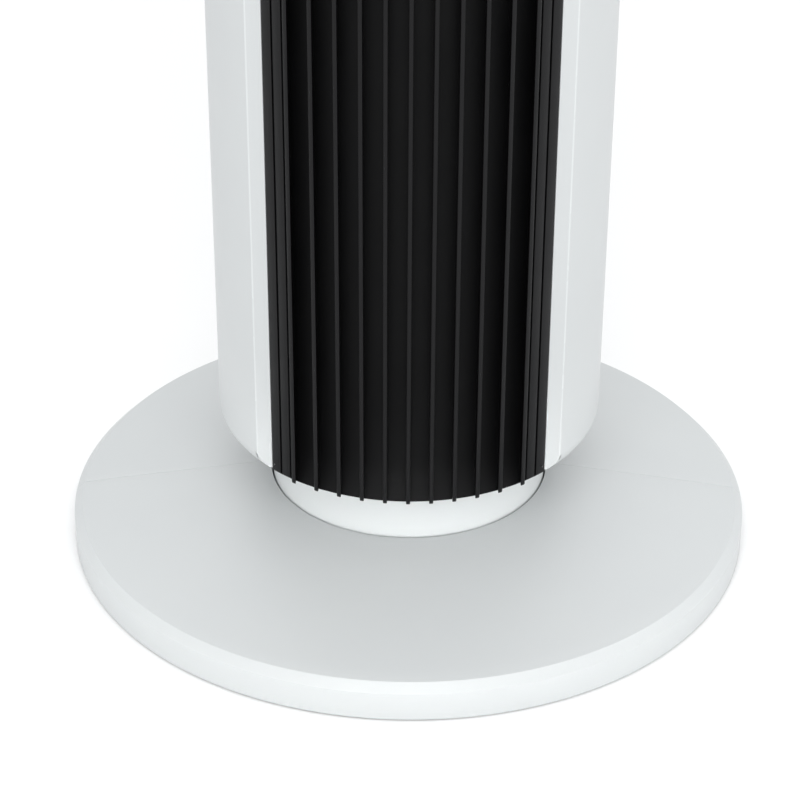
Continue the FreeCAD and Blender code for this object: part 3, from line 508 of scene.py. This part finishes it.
def makeFrontHousing():
    t = tower
    bm = spinProfile(shellProfile(), -90.0, t["split"], 105, closed=False)
    run = Vector((t["openingX"] - t["creaseX"], t["openingY"] - t["creaseY"], 0)).normalized()
    facing = Vector((-run.y, run.x, 0))
    facing = facing if facing.y < 0 else -facing
    plane = Vector((t["creaseX"], t["creaseY"], 0))
    cutAway(bm, plane, facing, clear=False)
    cutAway(bm, (t["openingX"], 0, 0), (-1, 0, 0), clear=False)

    # faces beyond the crease go, and the rounded front stays above the grille
    beyond = [f for f in bm.faces if f.calc_center_median().z < t["openingTop"] and
              ((f.calc_center_median() - plane).dot(facing) > 0 or f.calc_center_median().x < t["openingX"])]
    bmesh.ops.delete(bm, geom=beyond, context="FACES")

    # the flat strip grows from the crease to the edge of the grille opening
    crease = [e for e in bm.edges if e.is_boundary and
              all(abs((v.co - plane).dot(facing)) < 0.01 and v.co.z <= t["openingTop"] + 0.01 and
                  v.co.x > t["openingX"] - 0.01 for v in e.verts) and
              abs(e.verts[0].co.z - e.verts[1].co.z) > 0.001]
    grown = bmesh.ops.extrude_edge_only(bm, edges=crease)["geom"]
    for vert in [g for g in grown if isinstance(g, bmesh.types.BMVert)]:
        vert.co.x = t["openingX"]
        vert.co.y = t["openingY"]
    bmesh.ops.remove_doubles(bm, verts=bm.verts[:], dist=0.02)

    # ledge over the strip, where the round front closes above the grille
    ledge = [v for v in bm.verts if abs(v.co.z - t["openingTop"]) < 0.01 and v.co.x > t["openingX"] - 1.0 and
             v.co.y < t["creaseY"] + 0.01 and v.co.x < t["creaseX"] + 0.01]
    arc = sorted((v for v in ledge if abs(v.co.xy.length - t["radius"]) < 0.05), key=lambda v: v.co.x)
    corner = [v for v in ledge if abs(v.co.xy.length - t["radius"]) >= 0.05]
    if corner and len(arc) > 1:
        bm.faces.new(corner[:1] + arc)
    bmesh.ops.recalc_face_normals(bm, faces=bm.faces[:])
    copy = bm.copy()
    bmesh.ops.scale(copy, vec=(-1, 1, 1), verts=copy.verts[:])
    bmesh.ops.reverse_faces(copy, faces=copy.faces[:])
    joinMesh(bm, copy)
    bmesh.ops.remove_doubles(bm, verts=bm.verts[:], dist=0.01)
    for z in (t["eyeHeight"] - t["eyeMargin"], t["eyeHeight"] + t["eyeMargin"]):
        cutAway(bm, (0, 0, z), (0, 0, 1), clear=False)
    roundHole(bm, (0, -t["radius"], t["eyeHeight"]), (0, -1, 0), t["eyeRadius"])
    piece = finishPiece(bm, "frontHousingShell", "front_housing")
    # the bevel's faces take the lighter white in slot 1: a painted highlight along the rounded edges
    piece.data.materials.append(materials["whiteAbsEdgePaintedHighlight"])
    addSolidify(piece, t["wall"])
    edges = addBevel(piece, t["softEdge"], 3)
    edges.material = 1
    edges.use_clamp_overlap = False    # short edges at the corners would shrink the crease's bevel to nothing


makeFrontHousing()


intake = {"halfAngle": 52.0, "bottom": 305.0, "top": 845.0, "slots": 20, "slotWidth": 3.6, "margin": 8.0,
          "bars": 8, "barWidth": 3.0, "barDepth": 1.7, "barDrop": 0.8, "wall": 2.5, "sideMargin": 2.0,
          "softEdge": 0.35, "barEdge": 0.3, "fit": 0.3, "fitAngle": 0.2}
grip = {"halfWidth": 46.0, "bottom": 871.0, "top": 919.0, "floorY": 44.0, "wall": 2.0, "corner": 7.0, "fit": 0.1}
screwPockets = {"x": 66.0, "radius": 4.0, "margin": 8.5, "heights": (105.0, 265.0, 880.0)}


def makeRearHousing():
    t = tower
    bm = spinProfile(shellProfile(), t["rearStart"], t["rearSweep"], 150, closed=False)
    gap = intake["halfAngle"] + intake["fitAngle"]
    low, high = intake["bottom"] - intake["fit"], intake["top"] + intake["fit"]
    for angle in (90 - gap, 90 + gap):
        turn = math.radians(angle)
        cutAway(bm, (0, 0, 0), (-math.sin(turn), math.cos(turn), 0), clear=False)
    for x in (-grip["halfWidth"], grip["halfWidth"]):
        cutAway(bm, (x, 0, 0), (1, 0, 0), clear=False)
    cuts = [low, high, grip["bottom"], grip["top"]]
    for z in screwPockets["heights"]:
        cuts += [z - screwPockets["margin"], z + screwPockets["margin"]]
    for z in cuts:
        cutAway(bm, (0, 0, z), (0, 0, 1), clear=False)
    holes = []
    for face in bm.faces:
        middle = face.calc_center_median()
        aside = abs(math.degrees(math.atan2(middle.x, middle.y)))
        inIntake = aside < gap and low < middle.z < high
        inGrip = abs(middle.x) < grip["halfWidth"] and grip["bottom"] < middle.z < grip["top"]
        if inIntake or inGrip:
            holes.append(face)
    bmesh.ops.delete(bm, geom=holes, context="FACES")
    for z in screwPockets["heights"]:
        for x in (-screwPockets["x"], screwPockets["x"]):
            y = math.sqrt(t["radius"] ** 2 - x ** 2)
            roundHole(bm, (x, y, z), (0, 1, 0), screwPockets["radius"], reach=1.8)
    piece = finishPiece(bm, "rearHousingShell", "rear_housing")
    addSolidify(piece, t["wall"])
    addBevel(piece, t["softEdge"], 3)


makeRearHousing()
print("housing made")

grilleLow, grilleHigh = nodeSpan("front_grille")
grille = {
    "halfWidth": grilleHigh[0], "bottom": 60.0, "top": 899.6, "lipRadius": 80.0, "floorRadius": 75.0,
    "flare": 16.0, "wall": 2.0, "ribPitch": 9.6, "ribWidth": 1.7, "ribTip": 82.9, "ribs": 5, "nose": 2.0,
    "bandRadius": 80.6, "bands": ((49.6, 53.1), (53.7, 57.4)), "slotBottom": 300.0, "slotTop": 850.0,
    "slotWidth": 5.4, "ribBack": 73.4, "softEdge": 0.3, "backing": 47.6, "backingRadius": 79.6, "bandNose": 1.0,
    "halfAngle": 52.0, "sweepPower": 2.2, "sweepSteps": 12, "sideTrim": 0.4, "ribBelow": 0.4, "ribAbove": 0.2,
    "backingTrim": 0.2, "backingInset": 0.3,
}


def floorProfile():
    # the channel floor sweeps forward to the lip at both ends
    g = grille
    reach = g["lipRadius"] - g["floorRadius"]
    points = []
    for i in range(g["sweepSteps"] + 1):
        t = i / g["sweepSteps"]
        points.append((g["floorRadius"] + reach * (1 - t) ** g["sweepPower"], g["bottom"] + g["flare"] * t))
    upper = [(r, g["top"] - (z - g["bottom"])) for r, z in reversed(points)]
    return points + [(g["floorRadius"], g["slotBottom"]), (g["floorRadius"], g["slotTop"])] + upper


def makeGrille():
    g = grille
    bm = spinProfile(floorProfile(), -90 - g["halfAngle"], 2 * g["halfAngle"], 104, closed=False)
    for side in (-1, 1):
        cutAway(bm, (side * (g["halfWidth"] - g["sideTrim"]), 0, 0), (side, 0, 0))
    middles = [(i + 0.5) * g["ribPitch"] for i in range(-g["ribs"], g["ribs"])]
    for middle in middles:
        for side in (-1, 1):
            cutAway(bm, (middle + side * g["slotWidth"] / 2, 0, 0), (1, 0, 0), clear=False)
    slots = []
    for face in bm.faces:
        centre = face.calc_center_median()
        inside = any(abs(centre.x - middle) < g["slotWidth"] / 2 for middle in middles)
        if inside and g["slotBottom"] < centre.z < g["slotTop"]:
            slots.append(face)
    bmesh.ops.delete(bm, geom=slots, context="FACES")
    bmesh.ops.recalc_face_normals(bm, faces=bm.faces[:])
    if bm.faces[0].normal.y > 0:
        bmesh.ops.reverse_faces(bm, faces=bm.faces[:])
    bmesh.ops.solidify(bm, geom=bm.faces[:], thickness=g["wall"])
    bmesh.ops.recalc_face_normals(bm, faces=bm.faces[:])
    half = g["ribWidth"] / 2
    for i in range(-g["ribs"], g["ribs"] + 1):
        joinMesh(bm, makeUpright(i * g["ribPitch"] - half, i * g["ribPitch"] + half, g["ribTip"], g["nose"],
                                 g["bottom"] - g["ribBelow"], g["top"] + g["ribAbove"]))
    for side in (-1, 1):
        low, high = sorted((side * g["backing"], side * (g["halfWidth"] - g["backingTrim"])))
        joinMesh(bm, makeUpright(low, high, g["backingRadius"], g["bandNose"],
                                 g["bottom"] + g["backingInset"], g["top"] - g["backingInset"]))
    for inner, outer in g["bands"]:
        for side in (-1, 1):
            low, high = sorted((side * inner, side * outer))
            joinMesh(bm, makeUpright(low, high, g["bandRadius"], g["bandNose"], g["bottom"], g["top"]))
    # the channel floors take the darker black: painted shade between the ribs
    piece = finishPiece(bm, "frontGrilleMoulding", "front_grille", "blackAbsTexturedPaintedShade", normals=False)
    piece.data.materials.append(materials["blackAbs"])    # on the uprights


def makeUpright(x0, x1, tip, nose, z0, z1):
    # one rib or band: a side outline with round noses, pushed sideways to its width
    back = grille["ribBack"]
    bm = bmesh.new()
    lower = arcPoints((tip - nose, z0 + nose), nose, -90, 0, 7)
    upper = arcPoints((tip - nose, z1 - nose), nose, 0, 90, 7)
    outline = [(back, z0)] + lower + upper + [(back, z1)]
    verts = [bm.verts.new((0, -r, z)) for r, z in outline]
    face = bm.faces.new(verts)
    grown = bmesh.ops.extrude_face_region(bm, geom=[face])["geom"]
    moved = [v for v in grown if isinstance(v, bmesh.types.BMVert)]
    bmesh.ops.translate(bm, vec=(x1 - x0, 0, 0), verts=moved)
    bmesh.ops.translate(bm, vec=(x0, 0, 0), verts=bm.verts[:])
    bmesh.ops.recalc_face_normals(bm, faces=bm.faces[:])
    softenEdges(bm, grille["softEdge"], 2, 40)
    for vert in bm.verts:    # wraps it round the tower's axis
        radius = -vert.co.y
        vert.co.y = -math.sqrt(max(radius ** 2 - vert.co.x ** 2, 1.0))
    for face in bm.faces:
        face.material_index = 1
    return bm


makeGrille()
print("grille made")


def makeIntake():
    n = intake
    radius = tower["radius"]
    heights = [n["bottom"], n["bottom"] + n["margin"], n["top"] - n["margin"], n["top"]]
    bm = spinProfile([(radius, z) for z in heights], 90 - n["halfAngle"], 2 * n["halfAngle"], 104, closed=False)
    usable = n["halfAngle"] - n["sideMargin"]
    pitch = 2 * usable / n["slots"]
    half = math.degrees(n["slotWidth"] / 2 / radius)
    centres = [90 - usable + pitch * (i + 0.5) for i in range(n["slots"])]
    for centre in centres:
        for angle in (centre - half, centre + half):
            turn = math.radians(angle)
            cutAway(bm, (0, 0, 0), (-math.sin(turn), math.cos(turn), 0), clear=False)
    slots = []
    for face in bm.faces:
        middle = face.calc_center_median()
        angle = math.degrees(math.atan2(middle.y, middle.x))
        if any(abs(angle - c) < half for c in centres) and heights[1] < middle.z < heights[2]:
            slots.append(face)
    bmesh.ops.delete(bm, geom=slots, context="FACES")
    bmesh.ops.recalc_face_normals(bm, faces=bm.faces[:])
    if sum(f.normal.y for f in bm.faces) < 0:
        bmesh.ops.reverse_faces(bm, faces=bm.faces[:])
    bmesh.ops.solidify(bm, geom=bm.faces[:], thickness=n["wall"])
    bmesh.ops.recalc_face_normals(bm, faces=bm.faces[:])
    softenEdges(bm, n["softEdge"], 2, 40)
    span = (n["top"] - n["bottom"]) / (n["bars"] + 1)
    outer = radius - n["barDrop"]
    inner = outer - n["barDepth"]
    half = n["barWidth"] / 2
    for i in range(n["bars"]):
        z = n["bottom"] + span * (i + 1)
        bar = spinProfile([(inner, z - half), (outer, z - half), (outer, z + half), (inner, z + half)],
                          90 - n["halfAngle"] + 1, 2 * n["halfAngle"] - 2, 80)
        softenEdges(bar, n["barEdge"], 1, 40)
        joinMesh(bm, bar)
    finishPiece(bm, "intakeGrillePanel", "intake_grille", normals=False)


makeIntake()


def makeGrip():
    g = grip
    bm = bmesh.new()
    inner = tower["radius"] - tower["wall"] - g["fit"]
    blockPiece(bm, -g["halfWidth"], g["halfWidth"], g["floorY"], inner, g["bottom"], g["top"])
    mouth = [f for f in bm.faces if f.normal.y > 0.9]
    bmesh.ops.delete(bm, geom=mouth, context="FACES_ONLY")
    across = [e for e in bm.edges if abs(e.verts[0].co.x - e.verts[1].co.x) > 1]
    bmesh.ops.subdivide_edges(bm, edges=across, cuts=15, use_grid_fill=True)
    corners = [e for e in bm.edges if not e.is_boundary and e.calc_face_angle(0) > 1.0]
    bmesh.ops.bevel(bm, geom=corners, offset=g["corner"], offset_type="OFFSET", segments=5, profile=0.5,
                    affect="EDGES", clamp_overlap=True, material=-1)
    for vert in bm.verts:
        if vert.is_boundary:
            vert.co.y = math.sqrt(inner ** 2 - vert.co.x ** 2)
    piece = finishPiece(bm, "handGripCup", "hand_grip")
    addSolidify(piece, g["wall"], 1.0)


makeGrip()
print("rear made")

capLow, capHigh = nodeSpan("top_cap")
head = {
    "radius": capHigh[0], "bottom": 930.15, "top": capHigh[2], "shoulder": 8.0, "panelRadius": 57.7,
    "panelBottom": 955.6, "wall": 2.5, "panelGap": 0.3, "ledge": 4.3, "ledgeThickness": 2.5, "skirtWall": 2.1,
    "skirtGap": 0.2, "skirtRise": 4.0, "skirtRoot": 2.0, "softEdge": 0.4,
}


def makeCap():
    h = head
    wallInside = h["radius"] - h["wall"]
    lip = h["panelRadius"] + h["panelGap"]
    skirt = wallInside - h["skirtGap"]
    points = [(h["radius"], h["bottom"])]
    points += arcPoints((h["radius"] - h["shoulder"], h["top"] - h["shoulder"]), h["shoulder"], 0, 90, 12)
    points += [(lip, h["top"]), (lip, h["panelBottom"])]
    points += [(lip - h["ledge"], h["panelBottom"]), (lip - h["ledge"], h["panelBottom"] - h["ledgeThickness"])]
    points += [(h["radius"] - 9, h["top"] - 7), (wallInside, h["top"] - 12)]    # underside of the shoulder
    points += [(wallInside, h["bottom"] + h["skirtRise"]), (skirt, h["bottom"] + h["skirtRise"])]
    points += [(skirt, capLow[2]), (skirt - h["skirtWall"], capLow[2])]
    points += [(skirt - h["skirtWall"], h["bottom"] + h["skirtRoot"]), (skirt, h["bottom"])]
    bm = spinProfile(points, steps=192)
    softenEdges(bm, h["softEdge"], 2)
    finishPiece(bm, "topCapRing", "top_cap")


makeCap()


def refined(node, name, width, look=None, angle=30.0):
    # a merged copy of a part with its edges rounded
    bm = bmesh.new()
    bm.from_mesh(nodes[node].data)
    bmesh.ops.scale(bm, vec=(1 / mm, 1 / mm, 1 / mm), verts=bm.verts[:])
    bmesh.ops.remove_doubles(bm, verts=bm.verts[:], dist=0.002)
    bmesh.ops.dissolve_limit(bm, angle_limit=math.radians(1.0), verts=bm.verts[:], edges=bm.edges[:],
                             use_dissolve_boundaries=False)
    softenEdges(bm, width, 2, angle)
    piece = finishPiece(bm, name, node, look, normals=False)
    even = piece.modifiers.new("evenShading", "WEIGHTED_NORMAL")    # keeps the large flat faces flat
    even.keep_sharp = True


refined("control_panel", "controlPanelFace", 0.25, "pianoBlackAbs", 40)
refined("display_lens", "displayWindow", 0.2)
refined("remote_window", "remoteEye", 0.2)
refined("cord_inlet", "cordInletGland", 0.3)


button = {
    "radius": 6.3, "dish": 0.35, "dishRadius": 5.2, "edge": 0.3, "edgeDrop": 0.25, "sideTop": 0.8, "stem": 2.0,
    "flange": 1.5, "flangeTop": 0.2, "flangeBottom": 1.6,
}


def makeKey(node):
    b = button
    low, high = nodeSpan(node)
    centre = Vector(((low[0] + high[0]) / 2, (low[1] + high[1]) / 2, 0))
    top, flange = high[2], b["radius"] + b["flange"]
    flangeTop = head["panelBottom"] - b["flangeTop"]
    flangeBottom = head["panelBottom"] - b["flangeBottom"]
    outline = [(0, top - b["dish"]), (2.0, top - b["dish"] * 0.88), (4.0, top - b["dish"] * 0.45)]
    outline += [(b["dishRadius"], top), (b["radius"] - b["edge"], top - b["edgeDrop"])]
    outline += [(b["radius"], top - b["sideTop"]), (b["radius"], flangeTop), (flange, flangeTop)]
    outline += [(flange, flangeBottom), (b["stem"], flangeBottom), (b["stem"], low[2]), (0, low[2])]
    bm = spinProfile(outline, 0, 360, 48, closed=False)
    bmesh.ops.translate(bm, vec=centre, verts=bm.verts[:])
    finishPiece(bm, "key" + node.split("_")[1].capitalize(), node)


for node in sorted(n for n in nodes if n.startswith("button_")):
    makeKey(node)
print("control head made")

studio = {
    "floorSize": 6.0, "floorColour": "#f8f8f8",
    "worldStrength": 0.86, "worldColour": "#fbfcfd",
    "boxes": {    # metres, watts and degrees
        "overheadBox": {"at": (0, 0, 2.2), "aim": (0, 0, 0), "size": (2.0, 2.0), "power": 2.4, "spread": 180},
        "frontBox": {"at": (0, -1.7, 1.7), "aim": (0, 0, 0.1), "size": (1.6, 1.2), "power": 23.0, "spread": 180},
        "lowStrip": {"at": (0, -0.75, 0.03), "aim": (0, 0, 0.036), "size": (0.9, 0.05), "power": 0.085,
                     "spread": 12},
        "rightBox": {"at": (1.8, -0.4, 0.9), "aim": (0, 0, 0.1), "size": (1.2, 1.6), "power": 2.8, "spread": 180},
        "rearBox": {"at": (0, 1.8, 1.6), "aim": (0, 0, 0.1), "size": (2.4, 1.4), "power": 6.6, "spread": 180},
    },
}


def makeFloor():
    bm = bmesh.new()
    bmesh.ops.create_grid(bm, x_segments=1, y_segments=1, size=studio["floorSize"])
    mesh = bpy.data.meshes.new("studioFloor")
    bm.to_mesh(mesh)
    bm.free()
    floor = bpy.data.objects.new("studioFloor", mesh)
    bpy.context.scene.collection.objects.link(floor)
    material = newMaterial("whitePaperSweep")
    shader = addNode(material, "ShaderNodeBsdfPrincipled",
                     {"Base Color": linearColour(studio["floorColour"]), "Roughness": 0.9})
    finishMaterial(material, shader)
    mesh.materials.append(material)


def makeLights():
    world = bpy.data.worlds.new("studioWorld")
    world.use_nodes = True
    background = world.node_tree.nodes["Background"]
    background.inputs["Color"].default_value = linearColour(studio["worldColour"])
    background.inputs["Strength"].default_value = studio["worldStrength"]
    bpy.context.scene.world = world
    for name, box in studio["boxes"].items():
        light = bpy.data.lights.new(name, "AREA")
        light.shape = "RECTANGLE"
        light.size, light.size_y = box["size"]
        light.energy = box["power"]
        light.spread = math.radians(box["spread"])
        lamp = bpy.data.objects.new(name, light)
        bpy.context.scene.collection.objects.link(lamp)
        lamp.location = box["at"]
        lamp.rotation_euler = (Vector(box["aim"]) - Vector(box["at"])).to_track_quat("-Z", "Y").to_euler()


cameraSet = {"at": (1.61, -940.65, 621.84), "pitch": 30.786, "yaw": -0.344, "roll": 0.292, "lens": 111.34,
             "sensor": 36.0}


def makeCamera():
    c = cameraSet
    data = bpy.data.cameras.new("studioCamera")
    data.lens = c["lens"]
    data.sensor_width = c["sensor"]
    data.clip_start = 0.01
    camera = bpy.data.objects.new("studioCamera", data)
    bpy.context.scene.collection.objects.link(camera)
    turn = Matrix.Rotation(math.radians(-c["yaw"]), 4, "Z")
    tilt = Matrix.Rotation(math.radians(90 - c["pitch"]), 4, "X")
    bank = Matrix.Rotation(math.radians(c["roll"]), 4, "Z")
    camera.matrix_world = Matrix.Translation(Vector(c["at"]) * mm) @ turn @ tilt @ bank
    bpy.context.scene.camera = camera


makeFloor()
makeLights()
makeCamera()
bpy.context.scene.view_settings.view_transform = "Standard"
print("studio made")
